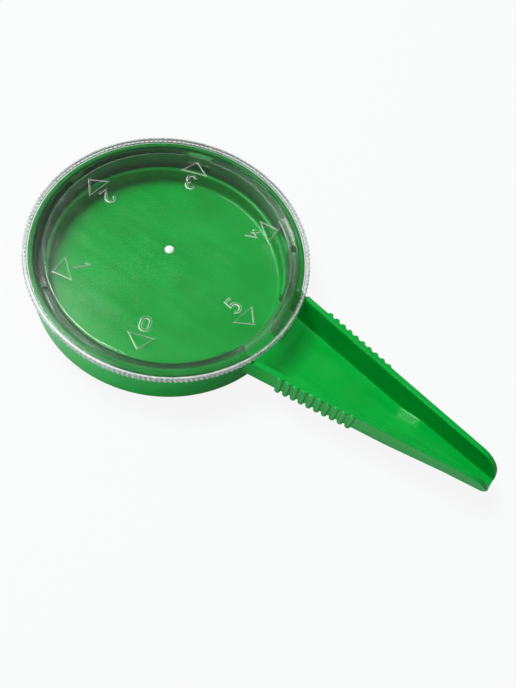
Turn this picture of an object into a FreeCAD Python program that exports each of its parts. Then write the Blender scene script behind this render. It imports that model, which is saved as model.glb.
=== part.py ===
import FreeCAD, Part
import Sketcher
import math
import os

# A hand seed sower with a dial: a round cup with a tapering trough, and a clear lid that turns on the cup.
# Frame: millimetres, +Z up, +X along the trough. The origin is under the middle of the whole sower, on the
# surface it rests on. Both bodies are drawn about the cup's axis and moved into that frame at the end.

OUT = "parts"

# Driving dimensions: name, value, meaning. Lengths are in millimetres, angles in degrees.
SIZES = (
    ("axis_place", -30.92, "place of the cup's axis along X, half the reach of the spout beyond the dial's"),
    ("rim_height", 14.0, "resting face to the rims of the cup and the trough"),
    ("rim_radius", 35.15, "outside of the cup at the rim"),
    ("base_radius", 34.9, "outside of the cup at the base"),
    ("bore_radius", 33.9, "inside of the cup at the rim"),
    ("bore_low_radius", 33.6, "inside of the cup at the groove floor"),
    ("base_round", 2.5, "rounding of the cup's lower edge"),
    ("rim_round", 0.4, "rounding of the rims"),
    ("ring_inner", 30.3, "inside of the hopper's ring wall"),
    ("ring_outer", 31.5, "outside of the hopper's ring wall"),
    ("ring_top", 8.4, "top of the ring wall"),
    ("ring_round", 0.5, "rounding of the ring wall's top"),
    ("groove_floor", 5.7, "floor of the groove that the dial's skirt turns in"),
    ("hopper_floor", 4.0, "floor of the hopper, inside the ring wall"),
    ("hopper_under", 2.7, "underside of the hopper floor"),
    ("hopper_round", 0.9, "rounding where the hopper floor meets the ring wall"),
    ("foot_inner", 31.9, "inside of the foot ring"),
    ("track_radius", 37.1, "outside of the dial's track across the trough's rims"),
    ("track_height", 13.0, "bottom of the dial's track"),
    ("trough_start", 25.0, "where the trough's side lines start, inside the cup"),
    ("trough_half", 13.93, "half width between the side lines at their start"),
    ("trough_taper", 0.1406, "half width lost for each millimetre along the trough"),
    ("trough_draft", 7.0, "lean of the trough's walls, degrees"),
    ("trough_low", 3.4, "height that the trough's blank is drawn down to"),
    ("root_under", 4.0, "underside of the trough at the cup"),
    ("belly_end", 72.0, "where the underside starts to rise"),
    ("belly_under", 4.8, "underside at that place"),
    ("rise_end", 87.0, "where the underside stops rising quickly"),
    ("rise_under", 6.8, "underside at that place"),
    ("spout_under", 7.3, "underside at the spout's end"),
    ("under_blend", 30.0, "radius that blends the underside's stretches"),
    ("under_round", 1.8, "rounding between the underside and the walls"),
    ("flare_round", 3.0, "radius of the flare where the trough's walls meet the cup"),
    ("flare_sweep", 58.0, "angle that the flare turns through, degrees"),
    ("flare_bite", 0.3, "how far the flare's end runs into the cup's wall"),
    ("spout_end", 99.1, "end of the spout"),
    ("nose_round", 1.6, "rounding of the spout's corners, seen from above"),
    ("sweep_radius", 8.3, "radius that the rims sweep down by at the spout"),
    ("wall_thick", 1.5, "thickness of the trough's walls"),
    ("mouth_floor", 5.6, "floor of the trough inside the cup"),
    ("ramp_start", 70.0, "where the ramp in the floor starts"),
    ("ramp_low", 6.0, "floor at the foot of the ramp"),
    ("ramp_end", 76.0, "where the ramp in the floor ends"),
    ("ramp_high", 7.5, "floor at the head of the ramp"),
    ("channel_end", 101.1, "where the channel's outline ends, past the spout"),
    ("spout_floor", 8.25, "floor of the trough at that place"),
    ("channel_round", 1.0, "rounding between the trough's floor and its walls"),
    ("rib_first", 42.77, "place of the first grip rib along the trough"),
    ("rib_pitch", 2.17, "distance between grip ribs along their row"),
    ("rib_peak", 12.15, "half width over the first pair of ribs, at their top"),
    ("rib_lean", 8.7, "angle between the rib rows and the trough's axis, degrees"),
    ("rib_radius", 0.8, "half width of a rib, which has a half-round face"),
    ("rib_top", 13.8, "top of the ribs"),
    ("rib_bottom", 5.0, "bottom of the ribs"),
    ("rib_depth", 1.6, "how far a rib's straight sides reach into the wall"),
    ("plate_under", 14.05, "underside of the dial's plate"),
    ("plate_top", 15.2, "top of the dial's plate"),
    ("dial_radius", 36.5, "outside of the dial over its knurl"),
    ("lip_inner", 35.5, "inside of the lip that hangs over the cup's rim"),
    ("lip_bottom", 13.35, "bottom of that lip"),
    ("knurl_depth", 0.42, "depth of the notches between the knurl's teeth"),
    ("knurl_half", 0.5, "half width of a notch, measured at the dial's outside"),
    ("skirt_inner", 31.85, "inside of the dial's skirt"),
    ("skirt_outer", 33.1, "outside of the dial's skirt"),
    ("skirt_bottom", 6.3, "bottom of the skirt"),
    ("window_1_half", 1.3, "half width of the first gate window"),
    ("window_1_top", 8.6, "top of the first gate window"),
    ("window_2_half", 2.1, "half width of the second gate window"),
    ("window_2_top", 9.6, "top of the second gate window"),
    ("window_3_half", 3.1, "half width of the third gate window"),
    ("window_3_top", 10.6, "top of the third gate window"),
    ("window_4_half", 4.4, "half width of the fourth gate window"),
    ("window_4_top", 11.6, "top of the fourth gate window"),
    ("window_5_half", 5.8, "half width of the fifth gate window"),
    ("window_5_top", 12.8, "top of the fifth gate window"),
    ("mark_height", 0.25, "how far the marks stand above the plate"),
    ("mark_line", 0.45, "width of the marks' lines"),
    ("mark_base", 25.5, "distance from the axis to a triangle's base"),
    ("mark_apex", 29.7, "distance from the axis to a triangle's apex"),
    ("mark_half", 3.57, "half width of a triangle's base"),
    ("digit_base", 24.4, "distance from the axis to the foot of a numeral"),
    ("gate_radius", 1.15, "radius of the round mark at the dial's centre"),
    ("gate_height", 0.45, "how far that round mark stands above the plate"),
)

# Numbers that repeat features.
RIBS_PER_SIDE = 10
KNURL_TEETH = 180
SETTINGS = 6
STEP_ANGLE = 360.0 / SETTINGS
# Angle of setting 5 from the trough's axis; the lower settings follow it anticlockwise.
FIRST_ANGLE = -7.6

VALUE = {name: value for name, value, meaning in SIZES}

# Room that a cutting outline has past the material it cuts.
CLEAR = 2.0
# Share of a step that a rough outline is turned by, so that none of its corners falls on a sketch's axis.
ROUGH_TURN = 0.3
# How near an edge has to be to the place that it is picked by.
NEAR = 0.05
# An edge stands when its direction's rise is over the first share of its length, and lies under the second.
STANDING = 0.8
LYING = 0.6


# ---- document, planes and sketches ----

def make_sheet(doc):
    """Put the driving dimensions into the document's spreadsheet."""
    sheet = doc.addObject("Spreadsheet::Sheet", "Sizes")
    for row, (name, value, meaning) in enumerate(SIZES, start=1):
        sheet.set(f"A{row}", name)
        sheet.set(f"B{row}", str(value))
        sheet.set(f"C{row}", meaning)
        sheet.setAlias(f"B{row}", name)
    doc.recompute()
    return sheet


def origin_plane(body, role):
    return next(plane for plane in body.Origin.OriginFeatures if plane.Role == role)


def new_sketch(body, name, role, shift=None):
    """Sketch on an origin plane, moved along the plane's normal by a formula."""
    sketch = body.newObject("Sketcher::SketchObject", name)
    sketch.AttachmentSupport = (origin_plane(body, role), [""])
    sketch.MapMode = "FlatFace"
    if shift:
        sketch.setExpression("AttachmentOffset.Base.z", shift)
    return sketch


def bind(sketch, constraint, formula):
    """Add a constraint whose value follows a formula."""
    place = sketch.addConstraint(constraint)
    sketch.setExpression(f"Constraints[{place}]", formula)


def hold(sketch, geometry, end, across, up):
    """Hold one point of a sketch at the place that two formulas give."""
    here = sketch.getPoint(geometry, end)
    for kind, axis, value, formula in (("DistanceX", -2, here.x, across), ("DistanceY", -1, here.y, up)):
        if formula == "0":
            sketch.addConstraint(Sketcher.Constraint("PointOnObject", geometry, end, axis))
        else:
            bind(sketch, Sketcher.Constraint(kind, -1, 1, geometry, end, value), formula)


def closed_line(sketch, corners):
    """Closed outline of straight lines, drawn roughly and then held by two formulas at each corner."""
    count = len(corners)
    angles = [2 * math.pi * (i + ROUGH_TURN) / count for i in range(count)]
    rough = [FreeCAD.Vector(math.cos(angle), math.sin(angle), 0) for angle in angles]
    first = sketch.GeometryCount
    for i in range(count):
        sketch.addGeometry(Part.LineSegment(rough[i], rough[(i + 1) % count]), False)
    for i in range(count):
        sketch.addConstraint(Sketcher.Constraint("Coincident", first + i, 2, first + (i + 1) % count, 1))
    for i, (across, up) in enumerate(corners):
        hold(sketch, first + i, 1, across, up)


def circle(sketch, across, up, radius):
    """Circle whose centre and radius are held by formulas."""
    geometry = sketch.addGeometry(Part.Circle(FreeCAD.Vector(1, 1, 0), FreeCAD.Vector(0, 0, 1), 1.0), False)
    hold(sketch, geometry, 3, across, up)
    bind(sketch, Sketcher.Constraint("Radius", geometry, 1.0), radius)


# ---- features ----

def revolve(body, kind, name, sketch):
    feature = body.newObject(f"PartDesign::{kind}", name)
    feature.Profile = sketch
    feature.ReferenceAxis = (sketch, ["V_Axis"])
    feature.Angle = 360
    return feature


def pad(body, name, sketch, length, downwards=False):
    feature = body.newObject("PartDesign::Pad", name)
    feature.Profile = sketch
    feature.setExpression("Length", length)
    feature.Reversed = downwards
    return feature


def cut_across(body, name, sketch):
    """Cut a side outline through the whole width of the body."""
    feature = body.newObject("PartDesign::Pocket", name)
    feature.Profile = sketch
    feature.SideType = "Symmetric"
    feature.Type = "ThroughAll"
    return feature


def round_edges(body, name, radius, wanted):
    """Fillet the edges of the body's tip that a test picks."""
    doc = body.Document
    doc.recompute()
    base = body.Tip
    names = [f"Edge{i}" for i, edge in enumerate(base.Shape.Edges, start=1) if wanted(edge)]
    feature = body.newObject("PartDesign::Fillet", name)
    feature.Base = (base, names)
    feature.setExpression("Radius", radius)
    return feature


def middle(edge):
    return edge.valueAt((edge.FirstParameter + edge.LastParameter) / 2)


def rise(edge):
    """Share of an edge's direction, at its start, that points up or down."""
    return abs(edge.tangentAt(edge.FirstParameter).z)


def is_ring(edge, radius, height):
    """True for an arc about the Z axis at a radius and a height."""
    if edge.Curve.TypeId != "Part::GeomCircle":
        return False
    centre = edge.Curve.Center
    return (math.hypot(centre.x, centre.y) < NEAR and abs(edge.Curve.Radius - radius) < NEAR
            and abs(centre.z - height) < NEAR)


# ---- green body ----

def half_width(place):
    """Formula for the trough's outer half width, at rim height, at a place along it."""
    return f"(Sizes.trough_half - ({place} - Sizes.trough_start) * Sizes.trough_taper)"


def trough_plan(body):
    """Trough seen from above: tapering sides that flare out into the cup's wall."""
    sketch = new_sketch(body, "trough_plan", "XY_Plane", "Sizes.rim_height")
    taper = math.atan(VALUE["trough_taper"])
    radius = VALUE["flare_round"]
    sweep = math.radians(VALUE["flare_sweep"])
    reach = VALUE["rim_radius"] - VALUE["flare_bite"] + radius
    start = FreeCAD.Vector(VALUE["trough_start"], VALUE["trough_half"], 0)
    along = FreeCAD.Vector(math.cos(taper), -math.sin(taper), 0)
    outward = FreeCAD.Vector(math.sin(taper), math.cos(taper), 0)
    offset = start.dot(outward) + radius
    centre = along * math.sqrt(reach ** 2 - offset ** 2) + outward * offset
    facing = 1.5 * math.pi - taper
    end_half = start.y - (VALUE["spout_end"] - start.x) * VALUE["trough_taper"]
    end = FreeCAD.Vector(VALUE["spout_end"], end_half, 0)
    flare_end = centre - outward * radius
    flare_start = centre + FreeCAD.Vector(math.cos(facing - sweep), math.sin(facing - sweep), 0) * radius

    def low(point):
        return FreeCAD.Vector(point.x, -point.y, 0)

    def bend(middle_point, first, last):
        return Part.ArcOfCircle(Part.Circle(middle_point, FreeCAD.Vector(0, 0, 1), radius), first, last)
    back, high_arc, high_side, tip, low_side, low_arc = 0, 2, 3, 4, 5, 6
    inside_cup, low_inside_cup, count = 1, 7, 8
    sketch.addGeometry([Part.LineSegment(low(start), start),
                        Part.LineSegment(start, flare_start),
                        bend(centre, facing - sweep, facing),
                        Part.LineSegment(flare_end, end),
                        Part.LineSegment(end, low(end)),
                        Part.LineSegment(low(end), low(flare_end)),
                        bend(low(centre), -facing, sweep - facing),
                        Part.LineSegment(low(flare_start), low(start))], False)
    for line in (back, inside_cup, high_side, tip, low_arc, low_inside_cup):
        sketch.addConstraint(Sketcher.Constraint("Coincident", line, 2, (line + 1) % count, 1))
    sketch.addConstraint(Sketcher.Constraint("Tangent", high_arc, 2, high_side, 1))
    sketch.addConstraint(Sketcher.Constraint("Tangent", low_side, 2, low_arc, 1))
    hold(sketch, back, 2, "Sizes.trough_start", "Sizes.trough_half")
    hold(sketch, high_side, 2, "Sizes.spout_end", half_width("Sizes.spout_end"))
    sketch.addConstraint(Sketcher.Constraint("PointOnObject", back, 2, high_side))
    for first, first_end, second, second_end in ((back, 1, back, 2), (tip, 1, tip, 2),
                                                 (high_side, 1, low_side, 2), (high_arc, 1, low_arc, 2)):
        sketch.addConstraint(Sketcher.Constraint("Symmetric", first, first_end, second, second_end, -1))
    bind(sketch, Sketcher.Constraint("Radius", high_arc, radius), "Sizes.flare_round")
    bind(sketch, Sketcher.Constraint("Angle", high_arc, sweep), "Sizes.flare_sweep")
    bind(sketch, Sketcher.Constraint("Distance", -1, 1, high_arc, 3, reach),
         "Sizes.rim_radius - Sizes.flare_bite + Sizes.flare_round")
    return sketch


def trough_blank(body):
    """Tapering solid bar that the trough is cut from."""
    bar = pad(body, "trough_bar", trough_plan(body), "Sizes.rim_height - Sizes.trough_low", downwards=True)
    bar.setExpression("TaperAngle", "-Sizes.trough_draft")

    side = new_sketch(body, "underside_line", "XZ_Plane")
    closed_line(side, ((f"Sizes.trough_start - {CLEAR}", "Sizes.root_under"),
                       ("Sizes.belly_end", "Sizes.belly_under"),
                       ("Sizes.rise_end", "Sizes.rise_under"),
                       (f"Sizes.spout_end + {CLEAR}", "Sizes.spout_under"),
                       (f"Sizes.spout_end + {CLEAR}", f"Sizes.trough_low - {CLEAR}"),
                       (f"Sizes.trough_start - {CLEAR}", f"Sizes.trough_low - {CLEAR}")))
    cut_across(body, "underside", side)

    def nose_corner(edge):
        return rise(edge) > STANDING and middle(edge).x > VALUE["spout_end"] - CLEAR
    round_edges(body, "nose_corners", "Sizes.nose_round", nose_corner)

    def across_underside(edge):
        bend = min(abs(middle(edge).x - VALUE[name]) for name in ("belly_end", "rise_end"))
        return bend < NEAR and abs(middle(edge).y) < NEAR
    round_edges(body, "underside_bends", "Sizes.under_blend", across_underside)

    def underside_edge(edge):
        point = middle(edge)
        outside = point.x > VALUE["trough_start"] + CLEAR
        side_or_end = abs(point.y) > NEAR or point.x > VALUE["spout_end"] - CLEAR
        low = point.z < VALUE["spout_under"] + NEAR
        return outside and side_or_end and low and rise(edge) < LYING
    round_edges(body, "underside_edges", "Sizes.under_round", underside_edge)


def cup_shell(body):
    """Round cup with its hopper, ring wall, skirt groove and foot ring."""
    outside = new_sketch(body, "cup_outside", "XZ_Plane")
    closed_line(outside, (("0", "0"),
                          ("Sizes.base_radius", "0"),
                          ("Sizes.rim_radius", "Sizes.rim_height"),
                          ("0", "Sizes.rim_height")))
    revolve(body, "Revolution", "cup", outside)


def outside_rounding(body):
    """Round the cup's lower edge and the outer edges of the rims."""
    round_edges(body, "cup_lower_edge", "Sizes.base_round",
                lambda edge: is_ring(edge, VALUE["base_radius"], 0))
    round_edges(body, "outer_rims", "Sizes.rim_round",
                lambda edge: edge.BoundBox.ZMin > VALUE["rim_height"] - NEAR)


def hopper(body):
    hollow = new_sketch(body, "hopper_outline", "XZ_Plane")
    closed_line(hollow, (("0", "Sizes.hopper_floor"),
                         ("Sizes.ring_inner", "Sizes.hopper_floor"),
                         ("Sizes.ring_inner", "Sizes.ring_top"),
                         ("Sizes.ring_outer", "Sizes.ring_top"),
                         ("Sizes.ring_outer", "Sizes.groove_floor"),
                         ("Sizes.bore_low_radius", "Sizes.groove_floor"),
                         ("Sizes.bore_radius", "Sizes.rim_height"),
                         ("Sizes.bore_radius", f"Sizes.rim_height + {CLEAR}"),
                         ("0", f"Sizes.rim_height + {CLEAR}")))
    revolve(body, "Groove", "hopper", hollow)
    round_edges(body, "hopper_corner", "Sizes.hopper_round",
                lambda edge: is_ring(edge, VALUE["ring_inner"], VALUE["hopper_floor"]))
    round_edges(body, "ring_wall_top", "Sizes.ring_round",
                lambda edge: is_ring(edge, VALUE["ring_inner"], VALUE["ring_top"])
                or is_ring(edge, VALUE["ring_outer"], VALUE["ring_top"]))

    recess = new_sketch(body, "foot_recess_outline", "XZ_Plane")
    closed_line(recess, (("0", f"-{CLEAR}"),
                         ("Sizes.foot_inner", f"-{CLEAR}"),
                         ("Sizes.foot_inner", "Sizes.hopper_under"),
                         ("0", "Sizes.hopper_under")))
    revolve(body, "Groove", "foot_recess", recess)


def channel_section(body, name, place, floor):
    """U-shaped section of the trough's channel at one place along it, with rounded lower corners."""
    sketch = new_sketch(body, name, "YZ_Plane", f"Sizes.{place}")
    draft = math.radians(VALUE["trough_draft"])
    radius = VALUE["channel_round"]
    low = VALUE[floor]
    high = VALUE["rim_height"] + CLEAR
    outer = VALUE["trough_half"] - (VALUE[place] - VALUE["trough_start"]) * VALUE["trough_taper"]
    wide = outer - VALUE["wall_thick"] + CLEAR * math.tan(draft)
    flat = (wide - (high - low) * math.tan(draft)) - radius * math.tan((math.pi / 2 - draft) / 2)
    side = (flat + radius * math.cos(draft), low + radius * (1 - math.sin(draft)))

    def corner(across, start, end):
        bend = Part.Circle(FreeCAD.Vector(across, low + radius, 0), FreeCAD.Vector(0, 0, 1), radius)
        return Part.ArcOfCircle(bend, start, end)

    def line(x0, y0, x1, y1):
        return Part.LineSegment(FreeCAD.Vector(x0, y0, 0), FreeCAD.Vector(x1, y1, 0))
    sketch.addGeometry([line(-flat, low, flat, low),
                        corner(flat, -math.pi / 2, -draft),
                        line(*side, wide, high),
                        line(wide, high, -wide, high),
                        line(-wide, high, -side[0], side[1]),
                        corner(-flat, math.pi + draft, 1.5 * math.pi)], False)
    for first, second in ((0, 1), (1, 2), (4, 5), (5, 0)):
        sketch.addConstraint(Sketcher.Constraint("Tangent", first, 2, second, 1))
    for first, second in ((2, 3), (3, 4)):
        sketch.addConstraint(Sketcher.Constraint("Coincident", first, 2, second, 1))
    sketch.addConstraint(Sketcher.Constraint("Symmetric", 3, 1, 3, 2, -2))
    sketch.addConstraint(Sketcher.Constraint("Symmetric", 0, 1, 0, 2, -2))
    sketch.addConstraint(Sketcher.Constraint("Equal", 1, 5))
    bind(sketch, Sketcher.Constraint("Radius", 1, radius), "Sizes.channel_round")
    bind(sketch, Sketcher.Constraint("DistanceY", -1, 1, 0, 1, low), f"Sizes.{floor}")
    bind(sketch, Sketcher.Constraint("Angle", 2, math.pi / 2 - draft), "90 - Sizes.trough_draft")
    top_half = f"{half_width(f'Sizes.{place}')} - Sizes.wall_thick + {CLEAR} * tan(Sizes.trough_draft)"
    hold(sketch, 2, 2, top_half, f"Sizes.rim_height + {CLEAR}")
    return sketch


def channel(body):
    """Open channel from the hopper, through the ring wall and the cup's wall, to the spout."""
    stations = (("mouth_section", "trough_start", "mouth_floor"),
                ("ramp_foot_section", "ramp_start", "ramp_low"),
                ("ramp_head_section", "ramp_end", "ramp_high"),
                ("spout_section", "channel_end", "spout_floor"))
    sections = [channel_section(body, *station) for station in stations]
    loft = body.newObject("PartDesign::SubtractiveLoft", "channel")
    loft.Profile = sections[0]
    loft.Sections = sections[1:]
    loft.Ruled = True


def nose_sweep(body):
    """Sweep the rims down to the floor at the spout."""
    sketch = new_sketch(body, "sweep_line", "XZ_Plane")
    centre = FreeCAD.Vector(VALUE["spout_end"] - VALUE["sweep_radius"],
                            VALUE["rim_height"] - VALUE["sweep_radius"], 0)
    bend = Part.Circle(centre, FreeCAD.Vector(0, 0, 1), VALUE["sweep_radius"])
    arc = sketch.addGeometry(Part.ArcOfCircle(bend, 0, math.pi / 2), False)
    corner = [centre + FreeCAD.Vector(x, y, 0) * VALUE["sweep_radius"]
              for x, y in ((0, 1), (0, 1.5), (1.5, 1.5), (1.5, 0), (1, 0))]
    for start, end in zip(corner, corner[1:]):
        sketch.addGeometry(Part.LineSegment(start, end), False)
    for first, end, second, start in ((0, 2, 1, 1), (1, 2, 2, 1), (2, 2, 3, 1), (3, 2, 4, 1), (4, 2, 0, 1)):
        sketch.addConstraint(Sketcher.Constraint("Coincident", first, end, second, start))
    for kind, line in (("Vertical", 1), ("Horizontal", 2), ("Vertical", 3), ("Horizontal", 4)):
        sketch.addConstraint(Sketcher.Constraint(kind, line))
    sketch.addConstraint(Sketcher.Constraint("Vertical", arc, 3, arc, 2))
    sketch.addConstraint(Sketcher.Constraint("Horizontal", arc, 3, arc, 1))
    bind(sketch, Sketcher.Constraint("Radius", arc, VALUE["sweep_radius"]), "Sizes.sweep_radius")
    hold(sketch, arc, 3, "Sizes.spout_end - Sizes.sweep_radius", "Sizes.rim_height - Sizes.sweep_radius")
    hold(sketch, 2, 2, f"Sizes.spout_end + {CLEAR}", f"Sizes.rim_height + {CLEAR}")
    cut_across(body, "rim_sweep", sketch)


def grip_ribs(body):
    """Two rows of half-round ribs that lean with the trough's walls, mirrored about the trough's axis."""
    sketch = new_sketch(body, "rib_outline", "XY_Plane", "Sizes.rib_bottom")
    sketch.setExpression("AttachmentOffset.Base.x", "Sizes.rib_first")
    sketch.setExpression("AttachmentOffset.Base.y",
                         "Sizes.rib_peak - (Sizes.rib_top - Sizes.rib_bottom) * tan(Sizes.trough_draft)")
    sketch.setExpression("AttachmentOffset.Rotation.Angle", "-Sizes.rib_lean")
    radius = VALUE["rib_radius"]
    depth = VALUE["rib_depth"]
    bend = Part.Circle(FreeCAD.Vector(0, -radius, 0), FreeCAD.Vector(0, 0, 1), radius)
    arc = sketch.addGeometry(Part.ArcOfCircle(bend, 0, math.pi), False)
    corner = (FreeCAD.Vector(-radius, -radius, 0), FreeCAD.Vector(-radius, -depth, 0),
              FreeCAD.Vector(radius, -depth, 0), FreeCAD.Vector(radius, -radius, 0))
    for start, end in zip(corner, corner[1:]):
        sketch.addGeometry(Part.LineSegment(start, end), False)
    for first, end, second, start in ((0, 2, 1, 1), (1, 2, 2, 1), (2, 2, 3, 1), (3, 2, 0, 1)):
        sketch.addConstraint(Sketcher.Constraint("Coincident", first, end, second, start))
    for kind, line in (("Vertical", 1), ("Horizontal", 2), ("Vertical", 3)):
        sketch.addConstraint(Sketcher.Constraint(kind, line))
    sketch.addConstraint(Sketcher.Constraint("Horizontal", arc, 3, arc, 1))
    sketch.addConstraint(Sketcher.Constraint("Horizontal", arc, 3, arc, 2))
    bind(sketch, Sketcher.Constraint("Radius", arc, radius), "Sizes.rib_radius")
    hold(sketch, arc, 3, "0", "-Sizes.rib_radius")
    bind(sketch, Sketcher.Constraint("DistanceY", -1, 1, 2, 1, -depth), "-Sizes.rib_depth")
    rib = pad(body, "rib", sketch, "Sizes.rib_top - Sizes.rib_bottom")
    rib.UseCustomVector = True
    rib.Direction = FreeCAD.Vector(0, 0, 1)
    rib.setExpression("Direction.y", "tan(Sizes.trough_draft)")
    rib.AlongSketchNormal = True

    row = body.newObject("PartDesign::LinearPattern", "rib_row")
    row.Direction = (sketch, ["H_Axis"])
    row.Mode = "Spacing"
    row.setExpression("Offset", "Sizes.rib_pitch")
    row.Occurrences = RIBS_PER_SIDE
    other = body.newObject("PartDesign::Mirrored", "other_row")
    other.MirrorPlane = (origin_plane(body, "XZ_Plane"), [""])
    both = body.newObject("PartDesign::MultiTransform", "rib_rows")
    both.Originals = [rib]
    both.Transformations = [row, other]
    body.Tip = both


def dial_track(body):
    """Lower the trough's rims where the dial's lip passes over them."""
    sketch = new_sketch(body, "track_outline", "XZ_Plane")
    closed_line(sketch, (("Sizes.rim_radius", "Sizes.track_height"),
                         ("Sizes.track_radius", "Sizes.track_height"),
                         ("Sizes.track_radius", f"Sizes.rim_height + {CLEAR}"),
                         ("Sizes.rim_radius", f"Sizes.rim_height + {CLEAR}")))
    revolve(body, "Groove", "dial_track", sketch)


def build_sower_body(doc):
    body = doc.addObject("PartDesign::Body", "sower_body")
    body.Label = "sower_body"
    trough_blank(body)
    cup_shell(body)
    outside_rounding(body)
    hopper(body)
    channel(body)
    round_edges(body, "bore_rim", "Sizes.rim_round",
                lambda edge: is_ring(edge, VALUE["bore_radius"], VALUE["rim_height"]))
    nose_sweep(body)
    grip_ribs(body)
    dial_track(body)
    return body


# ---- clear dial ----

def dial_disc(body):
    """Plate with a lip over the cup's rim and a skirt that hangs into the groove."""
    sketch = new_sketch(body, "dial_outline", "XZ_Plane")
    closed_line(sketch, (("0", "Sizes.plate_under"),
                         ("Sizes.skirt_inner", "Sizes.plate_under"),
                         ("Sizes.skirt_inner", "Sizes.skirt_bottom"),
                         ("Sizes.skirt_outer", "Sizes.skirt_bottom"),
                         ("Sizes.skirt_outer", "Sizes.plate_under"),
                         ("Sizes.lip_inner", "Sizes.plate_under"),
                         ("Sizes.lip_inner", "Sizes.lip_bottom"),
                         ("Sizes.dial_radius", "Sizes.lip_bottom"),
                         ("Sizes.dial_radius", "Sizes.plate_top"),
                         ("0", "Sizes.plate_top")))
    revolve(body, "Revolution", "disc", sketch)


def knurl(body):
    """Notches round the dial's edge."""
    sketch = new_sketch(body, "notch_outline", "XY_Plane", f"Sizes.lip_bottom - {CLEAR}")
    outside = "Sizes.dial_radius + Sizes.knurl_depth"
    closed_line(sketch, (("Sizes.dial_radius - Sizes.knurl_depth", "0"),
                         (outside, "2 * Sizes.knurl_half"),
                         (outside, "-2 * Sizes.knurl_half")))
    notch = body.newObject("PartDesign::Pocket", "notch")
    notch.Profile = sketch
    notch.Type = "ThroughAll"
    notch.Reversed = True
    teeth = body.newObject("PartDesign::PolarPattern", "notches")
    teeth.Originals = [notch]
    teeth.Axis = (sketch, ["N_Axis"])
    teeth.Angle = 360
    teeth.Occurrences = KNURL_TEETH
    body.Tip = teeth


def setting_angle(number):
    """Angle of a setting's mark and window from the trough's axis."""
    return FIRST_ANGLE + STEP_ANGLE * ((5 - number) % SETTINGS)


def gate_windows(body):
    """Windows of growing size, open at the skirt's lower edge; setting 0 has none."""
    for number in range(1, SETTINGS):
        sketch = new_sketch(body, f"window_{number}_outline", "YZ_Plane")
        turn = FreeCAD.Rotation(FreeCAD.Vector(0, 1, 0), setting_angle(number))
        sketch.AttachmentOffset = FreeCAD.Placement(FreeCAD.Vector(0, 0, 0), turn)
        half = f"Sizes.window_{number}_half"
        top = f"Sizes.window_{number}_top"
        closed_line(sketch, ((f"-{half}", "Sizes.skirt_bottom - 1"),
                             (half, "Sizes.skirt_bottom - 1"),
                             (half, top),
                             (f"-{half}", top)))
        window = body.newObject("PartDesign::Pocket", f"window_{number}")
        window.Profile = sketch
        window.Reversed = True
        window.setExpression("Length", "Sizes.dial_radius")


def setting_triangles(body):
    """Raised outline of a triangle at every setting, pointing outward."""
    sketch = new_sketch(body, "triangle_outline", "XY_Plane", "Sizes.plate_top")
    sketch.AttachmentOffset = FreeCAD.Placement(
        FreeCAD.Vector(0, 0, 0), FreeCAD.Rotation(FreeCAD.Vector(0, 0, 1), FIRST_ANGLE))
    sketch.setExpression("AttachmentOffset.Base.z", "Sizes.plate_top")
    closed_line(sketch, (("Sizes.mark_base", "-Sizes.mark_half"),
                         ("Sizes.mark_apex", "0"),
                         ("Sizes.mark_base", "Sizes.mark_half")))
    slope = "sqrt(Sizes.mark_half ^ 2 + (Sizes.mark_apex - Sizes.mark_base) ^ 2)"
    inner_apex = f"(Sizes.mark_apex - Sizes.mark_line * {slope} / Sizes.mark_half)"
    inner_base = "(Sizes.mark_base + Sizes.mark_line)"
    inner_half = (f"(({inner_apex} - {inner_base}) * Sizes.mark_half"
                  " / (Sizes.mark_apex - Sizes.mark_base))")
    closed_line(sketch, ((inner_base, f"-{inner_half}"),
                         (inner_apex, "0"),
                         (inner_base, inner_half)))
    mark = pad(body, "triangle", sketch, "Sizes.mark_height")
    marks = body.newObject("PartDesign::PolarPattern", "triangles")
    marks.Originals = [mark]
    marks.Axis = (sketch, ["N_Axis"])
    marks.Angle = 360
    marks.Occurrences = SETTINGS
    body.Tip = marks


def stroke_line(*steps):
    """Wire through corners (x, y) and arcs (x, y, radius, start angle, end angle), joined by straights."""
    edges = []
    last = None
    for step in steps:
        if len(step) == 2:
            start = end = FreeCAD.Vector(*step, 0)
        else:
            x, y, radius, first, second = step
            angles = [math.radians(angle) for angle in (first, (first + second) / 2, second)]
            start, top, end = [FreeCAD.Vector(x + radius * math.cos(angle), y + radius * math.sin(angle), 0)
                               for angle in angles]
        if last is not None and not start.isEqual(last, 1e-6):
            edges.append(Part.LineSegment(last, start).toShape())
        if len(step) > 2:
            edges.append(Part.Arc(start, top, end).toShape())
        last = end
    return Part.Wire(edges)


# Centre lines of the numerals in a cell 2.8 wide and 4 high, with the foot at y = 0.
NUMERAL_MIDDLE = 1.4
NUMERALS = {
    0: (stroke_line((NUMERAL_MIDDLE, 2.7, 1.1, 0, 180), (NUMERAL_MIDDLE, 1.3, 1.1, 180, 360), (2.5, 2.7)),),
    1: (stroke_line((0.7, 3.2), (1.5, 4.0), (1.5, 0.0)),),
    2: (stroke_line((NUMERAL_MIDDLE, 2.9, 1.1, 170, -40), (0.3, 0.0), (2.6, 0.0)),),
    3: (stroke_line((NUMERAL_MIDDLE, 2.95, 1.05, 160, -80)),
        stroke_line((NUMERAL_MIDDLE, 1.0, 1.15, 80, -160))),
    4: (stroke_line((1.7, 4.0), (0.3, 1.3), (2.7, 1.3)), stroke_line((2.1, 2.3), (1.9, 1.3), (1.9, 0.0))),
    5: (stroke_line((2.3, 4.0), (0.6, 4.0), (0.5, 2.2), (1.3, 1.25, 1.25, 120, -150)),),
}


def stroke_face(line, width):
    """Flat face of one width along a centre line, with round ends and corners."""
    outer = line.makeOffset2D(width / 2)
    if line.isClosed():
        return Part.Face([outer, line.makeOffset2D(-width / 2)])
    return Part.Face(outer)


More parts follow.
